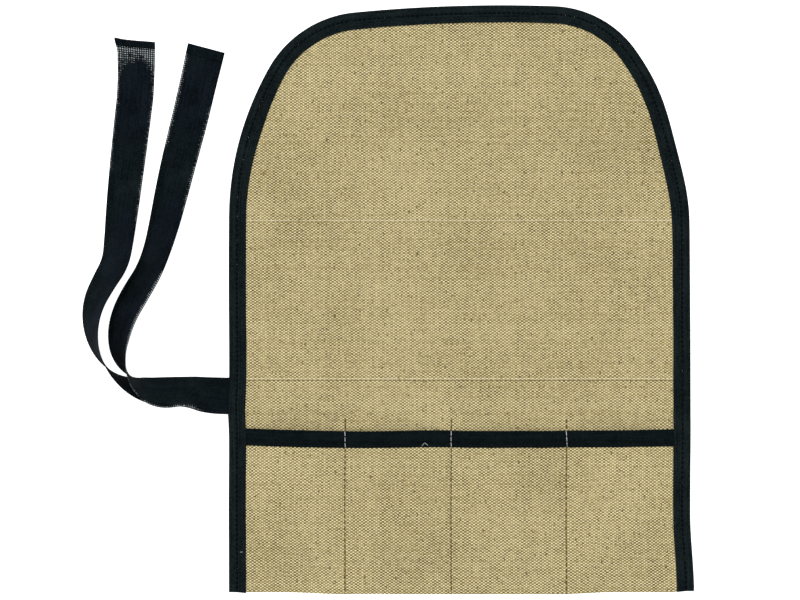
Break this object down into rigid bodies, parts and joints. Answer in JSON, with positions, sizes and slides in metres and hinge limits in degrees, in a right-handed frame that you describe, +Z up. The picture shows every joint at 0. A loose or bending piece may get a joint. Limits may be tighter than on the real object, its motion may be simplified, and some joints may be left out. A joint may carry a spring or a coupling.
{
  "type": "canvas tool roll",
  "caption": "Flat canvas tool roll with a row of pockets, a rounded cover flap that folds over them, taped edges and two tape ties.",
  "frame": {"origin": "under the middle of the body of the opened roll, on the surface that it lies on", "axes": "+Z up out of the cloth, +Y from the pockets to the rounded cover flap, +X to the right with the pockets nearest; the ties are on the -X side"},
  "size_m": [0.4279, 0.4129, 0.0263],
  "materials": {
    "canvas": "coarse natural canvas, matte",
    "tape": "black cotton twill tape, matte",
    "black_thread": "black sewing thread",
    "natural_thread": "natural sewing thread"
  },
  "bodies": {
    "roll_body": {"canvas_back": "canvas", "pocket_front": "canvas", "back_panel": "canvas", "binding_left": "tape", "binding_right": "tape", "pocket_binding": "tape", "tie_outer": "tape", "tie_inner": "tape", "thread_side_left": "black_thread", "thread_side_right": "black_thread", "thread_pocket_mouth": "black_thread", "thread_divider_1": "black_thread", "thread_divider_2": "black_thread", "thread_divider_3": "black_thread", "thread_upper_seam": "natural_thread", "thread_lower_seam": "natural_thread", "thread_hem_outer": "black_thread", "thread_hem_inner": "black_thread"},
    "flap": {"canvas_flap": "canvas", "binding_flap": "tape", "thread_flap_edge": "black_thread"}
  },
  "joints": [
    {"name": "flap_fold", "type": "hinge", "parent": "roll_body", "child": "flap", "pos_m": [0, 0.0553, 0.0021], "axis": [1, 0, 0], "range_deg": [0, 176]}
  ]
}
